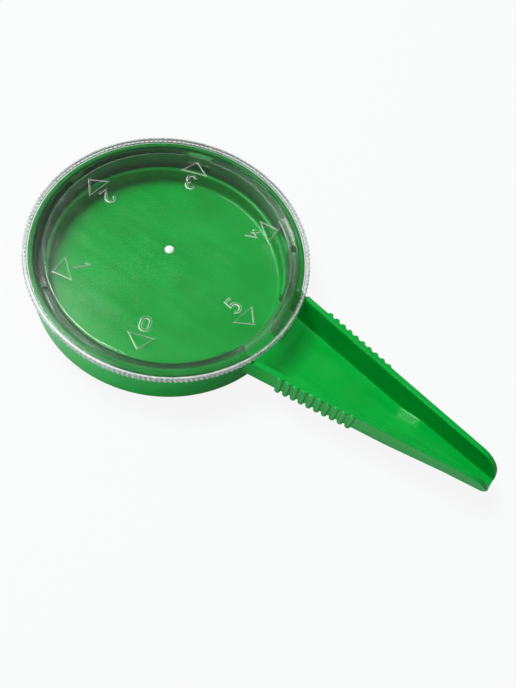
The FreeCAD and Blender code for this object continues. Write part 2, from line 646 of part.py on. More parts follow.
def as_geometry(edge):
    """Sketch geometry of a straight or round edge."""
    start, end = edge.Vertexes[0].Point, edge.Vertexes[-1].Point
    if edge.Curve.TypeId == "Part::GeomLine":
        return Part.LineSegment(start, end)
    return Part.Arc(start, middle(edge), end)


def numeral(body, number):
    """Raised numeral inboard of its triangle, with its top towards the dial's centre."""
    strokes = [stroke_face(line, VALUE["mark_line"]) for line in NUMERALS[number]]
    face = strokes[0].multiFuse(strokes[1:]).removeSplitter() if strokes[1:] else strokes[0]
    angle = setting_angle(number)
    outward = FreeCAD.Rotation(FreeCAD.Vector(0, 0, 1), angle)
    turn = FreeCAD.Rotation(FreeCAD.Vector(0, 0, 1), angle + 90)
    foot = outward.multVec(FreeCAD.Vector(VALUE["digit_base"], 0, 0))
    sketch = new_sketch(body, f"numeral_{number}_outline", "XY_Plane")
    sketch.AttachmentOffset = FreeCAD.Placement(foot - turn.multVec(FreeCAD.Vector(NUMERAL_MIDDLE, 0, 0)), turn)
    sketch.setExpression("AttachmentOffset.Base.z", "Sizes.plate_top")
    sketch.addGeometry([as_geometry(edge) for edge in face.Edges], False)
    pad(body, f"numeral_{number}", sketch, "Sizes.mark_height")


def build_size_dial(doc):
    body = doc.addObject("PartDesign::Body", "size_dial")
    body.Label = "size_dial"
    dial_disc(body)
    gate_windows(body)
    setting_triangles(body)
    for number in range(SETTINGS):
        numeral(body, number)
    centre = new_sketch(body, "gate_mark_outline", "XY_Plane", "Sizes.plate_top")
    circle(centre, "0", "0", "Sizes.gate_radius")
    pad(body, "gate_mark", centre, "Sizes.gate_height")
    knurl(body)
    return body


def check(doc):
    """Stop when any object failed or any shape isn't valid."""
    for thing in doc.Objects:
        if "Invalid" in thing.State or "Error" in thing.State:
            raise RuntimeError(f"{thing.Name} failed: {thing.State}")


def main():
    os.makedirs(OUT, exist_ok=True)
    doc = FreeCAD.newDocument("seed_sower")
    make_sheet(doc)
    parts = [build_sower_body(doc), build_size_dial(doc)]
    for part in parts:
        part.setExpression("Placement.Base.x", "Sizes.axis_place")
    doc.recompute()
    check(doc)
    for part in parts:
        shape = part.Shape
        if shape.isNull() or not shape.isValid():
            raise RuntimeError(f"{part.Label} has no valid shape")
        print(part.Label, "solids", len(shape.Solids), "volume", round(shape.Volume, 1), shape.BoundBox)
        shape.exportStep(f"{OUT}/{part.Label}.step")


main()
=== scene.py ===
import bpy
import bmesh
import math
from mathutils import Matrix, Vector

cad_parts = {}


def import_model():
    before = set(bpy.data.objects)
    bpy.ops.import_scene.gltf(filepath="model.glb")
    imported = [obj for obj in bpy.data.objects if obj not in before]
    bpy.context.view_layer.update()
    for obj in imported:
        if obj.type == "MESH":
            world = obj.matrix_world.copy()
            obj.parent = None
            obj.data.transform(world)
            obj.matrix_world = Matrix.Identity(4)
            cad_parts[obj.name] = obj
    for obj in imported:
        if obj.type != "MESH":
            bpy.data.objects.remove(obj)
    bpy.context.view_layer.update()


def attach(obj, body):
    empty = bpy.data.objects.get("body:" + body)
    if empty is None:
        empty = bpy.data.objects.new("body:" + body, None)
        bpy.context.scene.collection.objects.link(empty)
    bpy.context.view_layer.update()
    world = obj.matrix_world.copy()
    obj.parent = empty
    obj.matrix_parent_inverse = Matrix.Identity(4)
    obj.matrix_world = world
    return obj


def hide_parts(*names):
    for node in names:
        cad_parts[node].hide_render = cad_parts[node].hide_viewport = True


# A hand seed sower with a dial: a green moulded cup with a trough, and a clear lid that turns on the cup.
# Pieces are drawn in millimetres about the cup's axis, +Z up and +X along the trough, and place() then moves
# them into the frame, in metres.

MM = 0.001
AXIS_PLACE = -30.92
TURN = 2 * math.pi

# ---- green body, in millimetres ----
RIM_HEIGHT = 14.0
RIM_RADIUS = 35.15
RIM_ROUND = 0.45
# Outline of the cup's wall, floor and ring wall: distance from the axis, height, rounding.
CUP_OUTLINE = (
    (0.0, 2.7, 0.0), (31.9, 2.7, 0.6), (31.9, 0.0, 0.2), (34.9, 0.0, 2.5),
    (RIM_RADIUS, RIM_HEIGHT, 0.4), (33.9, RIM_HEIGHT, 0.4), (33.6, 5.7, 0.4),
    (31.5, 5.7, 0.3), (31.5, 8.4, 0.45), (30.3, 8.4, 0.45), (30.3, 4.0, 0.9), (0.0, 4.0, 0.0),
)
CUP_STEPS = 240
# Outline of the tool cut from the trough's blank, so that the blank starts inside the cup's wall and clears
# the track that the dial's lip turns in.
START_OUTLINE = (
    (0.0, -3.0, 0.0), (34.5, -3.0, 0.0), (34.5, 13.0, 0.0),
    (37.1, 13.0, 0.0), (37.1, 18.0, 0.0), (0.0, 18.0, 0.0),
)

# The trough's side at rim height: a spot along it, the half width there, and what it narrows by in each mm.
SIDE_START = (25.0, 13.93)
SIDE_TAPER = 0.1406
DRAFT = math.tan(math.radians(7.0))
# The arc that runs the trough's side into the cup: radius, centre, and the spots where it starts and ends.
FLARE_ROUND = 3.0
FLARE_CENTRE = (34.47, 15.63)
FLARE_SPAN = (31.73, 34.05)
# Side views of the trough: spot along it, height, radius that blends the bend there.
UNDERSIDE = ((20.0, 4.0, 0.0), (72.0, 4.8, 30.0), (87.0, 6.8, 30.0), (101.0, 7.3, 0.0))
CHANNEL_FLOOR = ((25.0, 5.6, 0.0), (70.0, 6.0, 12.0), (76.0, 7.5, 12.0), (101.1, 8.25, 0.0))
SPOUT_END = 99.1
NOSE_ROUND = 1.6
SWEEP_END = 98.4
SWEEP_RADIUS = 6.5
UNDER_ROUND = 1.8
LIP_ROUND = 1.0
WALL_THICK = 1.5
CHANNEL_ROUND = 0.35
INNER_RIM_ROUND = 0.45
# How far a cutter's rounded edge lies above the rim that it rounds, and how far a cutter stands clear.
SKIM = 0.004
CLEAR = 2.0
# How far past a rounding the line lies that keeps the next flat's shading flat.
SUPPORT = 0.25
# Points of a mesh that are closer than this are merged.
MERGE_DISTANCE = 1e-5
# Edges up to this angle, in degrees, are shaded smooth.
BODY_SMOOTH = 38

RIBS_PER_SIDE = 10
RIB_FIRST = (42.77, 12.15)
RIB_PITCH = 2.17
RIB_LEAN = math.radians(8.7)
RIB_RADIUS = 0.8
RIB_STEPS = 12
RIB_DEPTH = 1.6
RIB_SPAN = (5.0, 13.8)
RIB_END_ROUND = 0.3

# ---- clear dial, in millimetres ----
PLATE_TOP = 15.2
DIAL_RADIUS = 36.49
SKIRT_BOTTOM = 6.3
# Outline of the plate's rim, lip and skirt; the plate's two flat faces close it across the axis.
DIAL_OUTLINE = (
    (29.0, 14.05, 0.0), (31.85, 14.05, 0.7), (31.85, SKIRT_BOTTOM, 0.15), (33.1, SKIRT_BOTTOM, 0.15),
    (33.1, 14.05, 0.3), (35.5, 14.05, 0.2), (35.5, 13.35, 0.1), (DIAL_RADIUS, 13.35, 0.25),
    (DIAL_RADIUS, PLATE_TOP, 0.45), (29.0, PLATE_TOP, 0.0),
)
DIAL_SMOOTH = 40
KNURL_TEETH = 180
STEPS_PER_TOOTH = 4
KNURL_DEPTH = 0.5
KNURL_EDGE = 0.3
SETTINGS = 6
FIRST_ANGLE = math.radians(-7.6)
# Gate windows of settings 1 to 5: half width, top. Their cutters reach across the skirt, between two radii.
WINDOWS = {1: (1.3, 8.6), 2: (2.1, 9.6), 3: (3.1, 10.6), 4: (4.4, 11.6), 5: (5.8, 12.8)}
SKIRT_SPAN = (30.5, 34.5)
# Raised lines: height, width at the foot, width of each sloping side, rounding of their top edges, and how
# deep they start in the plate.
MARK_HEIGHT = 0.25
MARK_WIDTH = 0.78
MARK_FLANK = 0.17
MARK_ROUND = 0.05
MARK_SINK = 0.15
ARC_STEPS = 12
TRIANGLE = ((25.7, -3.25), (25.7, 3.25), (29.45, 0.0))
# The numerals' foot line, by its distance from the axis, and the middle of their cell.
DIGIT_FOOT = 24.4
DIGIT_MIDDLE = 1.4
# Closer than this, two points of a numeral's line are one point.
SAME_POINT = 1e-4
GATE_RADIUS = 1.15
GATE_HEIGHT = 0.45
GATE_STEPS = 32
# Outline of the round gate mark: distance from the axis, height.
GATE_OUTLINE = (
    (0.0, PLATE_TOP - MARK_SINK), (GATE_RADIUS, PLATE_TOP - MARK_SINK), (GATE_RADIUS, PLATE_TOP + 0.2),
    (GATE_RADIUS * 0.8, PLATE_TOP + GATE_HEIGHT * 0.85), (GATE_RADIUS * 0.4, PLATE_TOP + GATE_HEIGHT),
    (0.0, PLATE_TOP + GATE_HEIGHT),
)
# Where the dial's finishes meet: inner radius of the knurl, inner radius of the rim and skirt, top of the
# skirt. Raised lines are matte and whitish where they face up less than the last value, a painted glint on
# their sides.
FROST_RADIUS = 35.9
RIM_START = 31.2
SKIRT_TOP = 13.9
FLANK_FACING = 0.97
# Numbers of the dial's finishes, in the order that clear_dial gives them.
PLATE, KNURL, MARK, SKIRT = range(4)
# Centre lines of the numerals, in a cell 2.8 wide and 4 high: corners, and arcs given by centre, radius and
# two angles.
NUMERALS = {
    0: (((1.4, 2.7, 1.1, 0, 180), (1.4, 1.3, 1.1, 180, 360), (2.5, 2.7)),),
    1: (((0.7, 3.2), (1.5, 4.0), (1.5, 0.0)),),
    2: (((1.4, 2.9, 1.1, 170, -40), (0.3, 0.0), (2.6, 0.0)),),
    3: (((1.4, 2.95, 1.05, 160, -80),), ((1.4, 1.0, 1.15, 80, -160),)),
    4: (((1.7, 4.0), (0.3, 1.3), (2.7, 1.3)), ((2.1, 2.3), (1.9, 1.3), (1.9, 0.0))),
    5: (((2.3, 4.0), (0.6, 4.0), (0.5, 2.2), (1.3, 1.25, 1.25, 120, -150)),),
}

# ---- colours of the finishes ----
# Each plastic varies between two colours, and has others where it is rubbed or dusty; the green's rubbed
# colour along edges is also a painted highlight.
GREEN_DEEP = (0.0, 0.36, 0.036, 1.0)
GREEN_BRIGHT = (0.0, 0.41, 0.045, 1.0)
GREEN_RUBBED_AND_HIGHLIGHT = (0.06, 0.58, 0.20, 1.0)
GREEN_DUSTY = (0.20, 0.45, 0.22, 1.0)
CLEAR_DEEP = (0.90, 0.94, 0.93, 1.0)
CLEAR_BRIGHT = (0.94, 0.965, 0.955, 1.0)
# Light that passes the flat plate, the rim and skirt, and a surface that is met at a glancing angle.
PLATE_LIGHT = (0.97, 0.99, 0.985, 1.0)
RIM_LIGHT = (0.70, 0.74, 0.72, 1.0)
GLANCING_LIGHT = (0.4, 0.42, 0.41, 1.0)
KNURL_COLOURS = ((0.60, 0.66, 0.63, 1.0), (0.78, 0.82, 0.80, 1.0))
# Whitish matte sides of the raised marks: painted glints.
MARK_GLINT_COLOURS = ((0.86, 0.90, 0.88, 1.0), (0.95, 0.97, 0.96, 1.0))
MATTE_RUBBED = (0.96, 0.97, 0.97, 1.0)
WHITE = (1.0, 1.0, 1.0, 1.0)
POLYPROPYLENE_IOR = 1.49
POLYSTYRENE_IOR = 1.5

# ---- camera and light ----
CAMERA_PLACE = Vector((37.75, -107.22, 207.59)) * MM
CAMERA_RIGHT = (0.81348, 0.56423, 0.14104)
CAMERA_UP = (-0.55855, 0.69036, 0.45981)
CAMERA_BACK = (0.16208, -0.45282, 0.87675)
CAMERA_LENS = 47.09
FLOOR_SIZE = 3.0
WORLD_LIGHT = 0.17
FLOOR_COLOUR = (0.52, 0.56, 0.60, 1.0)
# Share of plain white in the floor and in the world: seen straight, through glass, and mirrored.
FLOOR_WHITE = (0.90, 0.82, 0.05)
WORLD_WHITE = (0.95, 0.2, 0.2)
# Softboxes: name, place and what it faces in metres, width, height, power in watts.
SOFTBOXES = (
    ("main_softbox", (-0.30, 0.0, 0.55), (0.0, 0.0, 0.0), 0.28, 0.28, 4.0),
    ("back_strip", (-0.10, 0.50, 0.34), (0.0, 0.0, 0.0), 0.30, 0.03, 0.2),
    ("front_card", (-0.24, -0.49, 0.03), (0.0, 0.0, 0.008), 0.45, 0.05, 1.6),
)


# ---- outlines ----

def round_corner(before, corner, after, radius, steps):
    """Points of the arc that rounds one corner."""
    inward = (before - corner).normalized()
    onward = (after - corner).normalized()
    opening = inward.angle(onward)
    reach = radius / math.tan(opening / 2)
    centre = corner + (inward + onward).normalized() * (radius / math.sin(opening / 2))
    first = corner + inward * reach - centre
    last = corner + onward * reach - centre
    sweep = math.pi - opening
    return [centre + (first * math.sin((1 - t) * sweep) + last * math.sin(t * sweep)) / math.sin(sweep)
            for t in (i / steps for i in range(steps + 1))]


def beside(start, towards):
    """Point on a straight, just past a rounding, that keeps its shading flat; none on a short straight."""
    run = towards - start
    return [start + run.normalized() * SUPPORT] if run.length > 4 * SUPPORT else []


def rounded_line(corners, steps, closed=False):
    """Line through corners (across, up, radius), with each corner rounded by its radius."""
    points = [Vector((across, up)) for across, up, radius in corners]
    line = []
    for i, (across, up, radius) in enumerate(corners):
        end = not closed and i in (0, len(corners) - 1)
        if radius and not end:
            before, after = points[i - 1], points[(i + 1) % len(points)]
            arc = round_corner(before, points[i], after, radius, steps)
            line += beside(arc[0], before) + arc + beside(arc[-1], after)
        else:
            line.append(points[i])
    return line


def height_on(line, spot):
    """Height of a side line at a spot along it."""
    for low, high in zip(line, line[1:]):
        if spot <= high.x:
            share = (spot - low.x) / (high.x - low.x)
            return low.y + share * (high.y - low.y)
    return line[-1].y


def inset(depth, radius):
    """How far a rounded edge lies back at a depth below its flat."""
    if depth >= radius:
        return 0.0
    depth = max(depth, 0.0)
    return radius - math.sqrt(radius ** 2 - (radius - depth) ** 2)


def eased(span, steps):
    """Depths from 0 to a rounding's span, close together where the rounding turns fastest."""
    return [span * (1 - math.cos(math.pi / 2 * i / steps)) for i in range(steps + 1)]


# ---- meshes ----

def mesh_object(name, vertices, faces):
    """Piece made of points and faces, linked to the scene."""
    mesh = bpy.data.meshes.new(name)
    mesh.from_pydata(vertices, [], faces)
    mesh.update()
    piece = bpy.data.objects.new(name, mesh)
    bpy.context.scene.collection.objects.link(piece)
    return piece


def face_outwards(piece):
    """Merge doubles and turn all faces outwards."""
    shape = bmesh.new()
    shape.from_mesh(piece.data)
    bmesh.ops.remove_doubles(shape, verts=shape.verts, dist=MERGE_DISTANCE)
    bmesh.ops.dissolve_degenerate(shape, edges=shape.edges, dist=MERGE_DISTANCE)
    bmesh.ops.recalc_face_normals(shape, faces=shape.faces)
    shape.to_mesh(piece.data)
    shape.free()
    return piece


def lathe(name, outline, steps):
    """Closed shape turned about the Z axis. An outline's open ends are closed by flat round faces."""
    count = len(outline)
    vertices = []
    for i in range(steps):
        angle = TURN * i / steps
        vertices += [(point.x * math.cos(angle), point.x * math.sin(angle), point.y) for point in outline]
    faces = []
    for i in range(steps):
        here, there = i * count, (i + 1) % steps * count
        faces += [(here + j, there + j, there + j + 1, here + j + 1) for j in range(count - 1)]
    for end in (0, count - 1):
        if outline[end].x > 0:
            faces.append(tuple(i * count + end for i in range(steps)))
    return face_outwards(mesh_object(name, vertices, faces))


def loft(name, sections):
    """Closed shape through sections, each a loop of the same number of points."""
    count = len(sections[0])
    vertices = [point for section in sections for point in section]
    faces = []
    for i in range(len(sections) - 1):
        here, there = i * count, (i + 1) * count
        for j in range(count):
            onward = (j + 1) % count
            faces.append((here + j, there + j, there + onward, here + onward))
    faces += [tuple(range(count)), tuple(range(len(vertices) - count, len(vertices)))]
    return face_outwards(mesh_object(name, vertices, faces))


def baked(piece):
    """Turn a piece with its modifiers, or a curve, into a plain mesh piece."""
    bpy.context.view_layer.update()
    graph = bpy.context.evaluated_depsgraph_get()
    mesh = bpy.data.meshes.new_from_object(piece.evaluated_get(graph), depsgraph=graph)
    name = piece.name
    bpy.data.objects.remove(piece)
    mesh.name = name
    plain = bpy.data.objects.new(name, mesh)
    bpy.context.scene.collection.objects.link(plain)
    return plain


def combine(piece, tool, operation):
    """Join a tool to a piece or cut it away; the tool is used up."""
    modifier = piece.modifiers.new("combine", "BOOLEAN")
    modifier.solver = "MANIFOLD"
    modifier.operation = operation
    modifier.object = tool
    result = baked(piece)
    bpy.data.objects.remove(tool)
    return result


def joined(name, pieces):
    """One object from several meshes that don't touch."""
    shape = bmesh.new()
    for piece in pieces:
        shape.from_mesh(piece.data)
        bpy.data.objects.remove(piece)
    whole = mesh_object(name, [], [])
    shape.to_mesh(whole.data)
    shape.free()
    return whole


def moved(piece, matrix):
    """The same piece, with its mesh moved by a matrix."""
    piece.data.transform(matrix)
    return piece


def place(piece, name, *materials):
    """Name a finished piece, move it into the frame and give it its finishes."""
    moved(piece, Matrix.Scale(MM, 4) @ Matrix.Translation((AXIS_PLACE, 0, 0)))
    piece.name = name
    piece.data.name = name
    piece.data.materials.clear()
    for material in materials:
        piece.data.materials.append(material)
    return piece


def soften(piece, angle):
    """Smooth shading, kept sharp at edges over an angle, with normals that follow the larger faces."""
    for face in piece.data.polygons:
        face.use_smooth = True
    piece.data.set_sharp_from_angle(angle=math.radians(angle))
    modifier = piece.modifiers.new("even_normals", "WEIGHTED_NORMAL")
    modifier.keep_sharp = True
    return baked(piece)


# ---- geometry node trees ----

def new_tree(name, inputs):
    """Geometry node tree with named inputs (label, socket type, value), and its two end nodes."""
    tree = bpy.data.node_groups.new(name, "GeometryNodeTree")
    tree.interface.new_socket("Geometry", in_out="INPUT", socket_type="NodeSocketGeometry")
    for label, kind, value in inputs:
        socket = tree.interface.new_socket(label, in_out="INPUT", socket_type=kind)
        if value is not None:
            socket.default_value = value
    tree.interface.new_socket("Geometry", in_out="OUTPUT", socket_type="NodeSocketGeometry")
    return tree, tree.nodes.new("NodeGroupInput"), tree.nodes.new("NodeGroupOutput")


def add_node(tree, kind, inputs=None, **settings):
    """New node with its settings and inputs; an input given as a socket is linked."""
    node = tree.nodes.new(kind)
    for name, value in settings.items():
        setattr(node, name, value)
    for name, value in (inputs or {}).items():
        if isinstance(value, bpy.types.NodeSocket):
            tree.links.new(value, node.inputs[name])
        else:
            node.inputs[name].default_value = value
    return node


def maths(tree, operation, *values):
    """Output of a math node."""
    return add_node(tree, "ShaderNodeMath", dict(enumerate(values)), operation=operation).outputs[0]


def use_tree(piece, tree, values):
    """Run a node tree on a piece with values for its named inputs, and keep the result as a plain mesh."""
    modifier = piece.modifiers.new(tree.name, "NODES")
    modifier.node_group = tree
    for socket in tree.interface.items_tree:
        if socket.in_out == "INPUT" and socket.name in values:
            modifier[socket.identifier] = values[socket.name]
    return baked(piece)


def rib_row_tree():
    """Row of ribs along a line, and its mirror image on the other side of the trough."""
    tree, given, result = new_tree("rib_rows", (
        ("Ribs", "NodeSocketInt", 10),
        ("First", "NodeSocketVector", None),
        ("Step", "NodeSocketVector", None),
        ("Lean", "NodeSocketFloat", 0.0),
        ("Material", "NodeSocketMaterial", None)))
    line = add_node(tree, "GeometryNodeMeshLine", {"Count": given.outputs["Ribs"],
                                                   "Start Location": given.outputs["First"],
                                                   "Offset": given.outputs["Step"]})
    turn = add_node(tree, "ShaderNodeCombineXYZ", {"Z": given.outputs["Lean"]})
    ribs = add_node(tree, "GeometryNodeInstanceOnPoints", {"Points": line.outputs["Mesh"],
                                                           "Instance": given.outputs["Geometry"],
                                                           "Rotation": turn.outputs["Vector"]})
    row = add_node(tree, "GeometryNodeRealizeInstances", {"Geometry": ribs.outputs["Instances"]})
    other = add_node(tree, "GeometryNodeTransform", {"Geometry": row.outputs["Geometry"],
                                                     "Scale": (1.0, -1.0, 1.0)})
    flipped = add_node(tree, "GeometryNodeFlipFaces", {"Mesh": other.outputs["Geometry"]})
    both = add_node(tree, "GeometryNodeJoinGeometry")
    tree.links.new(row.outputs["Geometry"], both.inputs["Geometry"])
    tree.links.new(flipped.outputs["Mesh"], both.inputs["Geometry"])
    finished = add_node(tree, "GeometryNodeSetMaterial", {"Geometry": both.outputs["Geometry"],
                                                          "Material": given.outputs["Material"]})
    tree.links.new(finished.outputs["Geometry"], result.inputs["Geometry"])
    return tree


def knurl_tree():
    """Notches round a disc's edge: points near the outside draw in by a wave that follows their angle."""
    tree, given, result = new_tree("knurl", (
        ("Teeth", "NodeSocketInt", 180),
        ("Depth", "NodeSocketFloat", 0.4),
        ("Radius", "NodeSocketFloat", 36.5),
        ("Edge", "NodeSocketFloat", 0.3),
        ("Material", "NodeSocketMaterial", None)))
    here = add_node(tree, "GeometryNodeInputPosition").outputs["Position"]
    parts = add_node(tree, "ShaderNodeSeparateXYZ", {"Vector": here})
    across, along = parts.outputs["X"], parts.outputs["Y"]
    across_squared = maths(tree, "MULTIPLY", across, across)
    along_squared = maths(tree, "MULTIPLY", along, along)
    radius = maths(tree, "SQRT", maths(tree, "ADD", across_squared, along_squared))
    phase = maths(tree, "MULTIPLY", maths(tree, "ARCTAN2", along, across),
                  maths(tree, "DIVIDE", given.outputs["Teeth"], TURN))
    bead = maths(tree, "MULTIPLY_ADD", maths(tree, "COSINE", maths(tree, "MULTIPLY", phase, TURN)), 0.5, 0.5)
    inner = maths(tree, "SUBTRACT", given.outputs["Radius"], given.outputs["Edge"])
    near_edge = add_node(tree, "ShaderNodeMapRange", {"Value": radius, "From Min": inner,
                                                      "From Max": given.outputs["Radius"]})
    depth = maths(tree, "MULTIPLY", given.outputs["Depth"], maths(tree, "SUBTRACT", 1.0, bead))
    drawn = maths(tree, "MULTIPLY", depth, near_edge.outputs["Result"])
    keep = maths(tree, "SUBTRACT", 1.0, maths(tree, "DIVIDE", drawn, radius))
    position = add_node(tree, "ShaderNodeCombineXYZ", {"X": maths(tree, "MULTIPLY", across, keep),
                                                       "Y": maths(tree, "MULTIPLY", along, keep),
                                                       "Z": parts.outputs["Z"]})
    shaped = add_node(tree, "GeometryNodeSetPosition", {"Geometry": given.outputs["Geometry"],
                                                        "Position": position.outputs["Vector"]})
    whole = add_node(tree, "GeometryNodeRealizeInstances", {"Geometry": shaped.outputs["Geometry"]})
    finished = add_node(tree, "GeometryNodeSetMaterial", {"Geometry": whole.outputs["Geometry"],
                                                          "Material": given.outputs["Material"]})
    tree.links.new(finished.outputs["Geometry"], result.inputs["Geometry"])
    return tree


# ---- green body ----

def side_straight(spot):
    """Outer half width of the trough at rim height, along its straight side."""
    return SIDE_START[1] - (spot - SIDE_START[0]) * SIDE_TAPER


def side_half(spot):
    """Outer half width of the trough at rim height, with the flare that runs into the cup's wall."""
    first, last = FLARE_SPAN
    if spot >= last:
        return side_straight(spot)
    back = max(spot, first)
    return FLARE_CENTRE[1] - math.sqrt(FLARE_ROUND ** 2 - (back - FLARE_CENTRE[0]) ** 2)


def outer_half(spot, height):
    """Outer half width of the trough at a spot and a height, with its draft and its rounded nose."""
    lean = (RIM_HEIGHT - height) * DRAFT
    past = spot - (SPOUT_END - lean - NOSE_ROUND)
    nose = NOSE_ROUND - math.sqrt(max(NOSE_ROUND ** 2 - past ** 2, 0.0)) if past > 0 else 0.0
    return side_half(spot) - lean - nose


def rim_line(spot):
    """Height of the trough's rims, which sweep down to the spout."""
    past = spot - (SWEEP_END - SWEEP_RADIUS)
    if past <= 0:
        return RIM_HEIGHT
    return RIM_HEIGHT - SWEEP_RADIUS + math.sqrt(max(SWEEP_RADIUS ** 2 - past ** 2, 0.0))


def nose_spots(last_angle, steps):
    """Spots along the swept nose, evenly spaced round the sweep."""
    return [SWEEP_END - SWEEP_RADIUS + SWEEP_RADIUS * math.sin(math.radians(last_angle) * i / steps)
            for i in range(1, steps + 1)]


def underside_height(line, spot):
    """Height of the underside, with its rounding up to the spout's lip."""
    low = height_on(line, spot)
    lean = (RIM_HEIGHT - low) * DRAFT
    past = spot - (SPOUT_END - lean - LIP_ROUND)
    if past <= 0:
        return low
    return low + LIP_ROUND - math.sqrt(max(LIP_ROUND ** 2 - past ** 2, 0.0))


def both_sides(spot, side):
    """Loop at a spot along the trough from one side's points (across, up) and their mirror image."""
    other = [(spot, -across, up) for across, up in reversed(side)]
    return [(spot, across, up) for across, up in side] + other


def blank_section(spot, line):
    """Loop round the trough's solid blank at one spot."""
    low, high = underside_height(line, spot), rim_line(spot)
    tall = high - low
    top_round, low_round = min(RIM_ROUND, tall * 0.2), min(UNDER_ROUND, tall * 0.6)
    straight = tall - top_round - low_round
    support = min(SUPPORT, straight * 0.1)
    depths = eased(top_round, 4)
    depths += [top_round + depth for depth in (support, straight * 0.5, straight - support)]
    heights = [high - depth for depth in depths] + [low + rise for rise in reversed(eased(low_round, 6))]
    side = []
    for height in heights:
        cut = inset(high - height, top_round) + inset(height - low, low_round)
        side.append((max(outer_half(spot, height) - cut, 0.02), height))
    side.append((side[-1][0] * 0.7, low))
    return both_sides(spot, side)


def trough_blank():
    """Solid bar that the trough's channel is cut from."""
    line = rounded_line(UNDERSIDE, 6)
    spots = [28.0, FLARE_SPAN[0]]
    spots += [FLARE_SPAN[0] + (FLARE_SPAN[1] - FLARE_SPAN[0]) * i / 6 for i in range(1, 7)]
    spots += [36.0, 40.0, 46.0, 52.0, 58.0, 64.0]
    spots += [point.x for point in line if 64.0 < point.x < 90.0]
    spots += [SWEEP_END - SWEEP_RADIUS] + nose_spots(80.0, 26)
    return loft("trough_blank", [blank_section(spot, line) for spot in spots])


def channel_section(spot, line):
    """Loop round the cutter of the channel at one spot; its rounded shoulders leave rounded rims."""
    low = height_on(line, spot)
    high = max(rim_line(spot) + SKIM, low + 0.1)
    tall = high - low
    rim_round, low_round = min(INNER_RIM_ROUND, tall * 0.3), min(CHANNEL_ROUND, tall * 0.6)
    straight = tall - rim_round - low_round
    support = min(SUPPORT, straight * 0.1)
    heights = [low + rise for rise in eased(low_round, 6)]
    heights += [low + low_round + support, high - rim_round - support, high - rim_round]
    heights += [high - depth for depth in reversed(eased(rim_round, 4)[:-1])]
    side = []
    for height in heights:
        wall = side_straight(spot) - WALL_THICK - (RIM_HEIGHT - height) * DRAFT
        side.append((wall - inset(height - low, low_round) + inset(high - height, rim_round), height))
    side.insert(0, (side[0][0] - min(SUPPORT, side[0][0] / 2), low))
    side.append((side[-1][0], RIM_HEIGHT + CLEAR))
    return both_sides(spot, side)


def channel_cutter():
    """The space inside the trough, from the hopper to past the spout."""
    line = rounded_line(CHANNEL_FLOOR, 6)
    spots = [25.0, 30.0, 36.0, 42.0, 48.0, 54.0, 60.0, 66.0]
    spots += [point.x for point in line if 66.0 < point.x < 80.0]
    spots += [80.0, 84.0, 88.0, SWEEP_END - SWEEP_RADIUS] + nose_spots(84.0, 26) + [99.5, 101.1]
    return loft("channel_cutter", [channel_section(spot, line) for spot in spots])


def rib():
    """Half-round rib that leans with the trough's wall, with rounded ends."""
    low, high = RIB_SPAN
    heights = [low + rise for rise in eased(RIB_END_ROUND, 3)]
    heights += [high - depth for depth in reversed(eased(RIB_END_ROUND, 3))]
    sections = []
    for height in heights:
        radius = RIB_RADIUS - inset(height - low, RIB_END_ROUND) - inset(high - height, RIB_END_ROUND)
        lean = (high - height) * DRAFT
        section = []
        for i in range(RIB_STEPS + 1):
            angle = math.pi * i / RIB_STEPS
            section.append((radius * math.cos(angle), radius * math.sin(angle) - RIB_RADIUS - lean, height))
        section += [(-radius, -RIB_DEPTH - lean, height), (radius, -RIB_DEPTH - lean, height)]
        sections.append(section)
    return loft("rib", sections)


def green_body(material):
    """Cup, trough and ribs, joined into one moulding."""
    cup = lathe("cup", rounded_line(CUP_OUTLINE, 6), CUP_STEPS)
    start = lathe("start", rounded_line(START_OUTLINE, 1), CUP_STEPS)
    body = combine(cup, combine(trough_blank(), start, "DIFFERENCE"), "UNION")
    along = Vector((math.cos(RIB_LEAN), -math.sin(RIB_LEAN), 0)) * RIB_PITCH
    ribs = use_tree(rib(), rib_row_tree(), {"Ribs": RIBS_PER_SIDE, "First": (*RIB_FIRST, 0.0), "Step": along,
                                            "Lean": -RIB_LEAN, "Material": material})
    body = combine(body, ribs, "UNION")
    body = combine(body, channel_cutter(), "DIFFERENCE")
    body = soften(face_outwards(body), BODY_SMOOTH)
    return place(body, "cup_and_trough", material)


# ---- clear dial ----

def setting_turn(number):
    """Turn about the axis that brings the trough's side to a setting's mark and window."""
    return Matrix.Rotation(FIRST_ANGLE + TURN / SETTINGS * ((5 - number) % SETTINGS), 4, "Z")


def window_cutter(number):
    """Block that cuts a setting's gate window through the skirt."""
    half, top = WINDOWS[number]
    low = SKIRT_BOTTOM - CLEAR
    sections = [[(x, -half, low), (x, half, low), (x, half, top), (x, -half, top)] for x in SKIRT_SPAN]
    return moved(loft("window", sections), setting_turn(number))


def stroke_points(steps):
    """Points of a numeral's centre line."""
    points = []
    for step in steps:
        if len(step) == 2:
            points.append(Vector((*step, 0)))
            continue
        x, y, radius, first, last = step
        for i in range(ARC_STEPS + 1):
            angle = math.radians(first + (last - first) * i / ARC_STEPS)
            points.append(Vector((x + radius * math.cos(angle), y + radius * math.sin(angle), 0)))
    return points


def stroke_profile():
    """Cross-section of a raised line: a low ridge with rounded shoulders."""
    half, top = MARK_WIDTH / 2, MARK_WIDTH / 2 - MARK_FLANK
    corners = ((-half, -MARK_SINK, 0.0), (half, -MARK_SINK, 0.0), (half, 0.0, 0.0),
               (top, MARK_HEIGHT, MARK_ROUND), (-top, MARK_HEIGHT, MARK_ROUND), (-half, 0.0, 0.0))
    outline = rounded_line(corners, 2, closed=True)
    data = bpy.data.curves.new("stroke_profile", "CURVE")
    spline = data.splines.new("POLY")
    spline.points.add(len(outline) - 1)
    for point, corner in zip(spline.points, outline):
        point.co = (-corner.x, corner.y, 0, 1)
    spline.use_cyclic_u = True
    profile = bpy.data.objects.new("stroke_profile", data)
    bpy.context.scene.collection.objects.link(profile)
    return profile


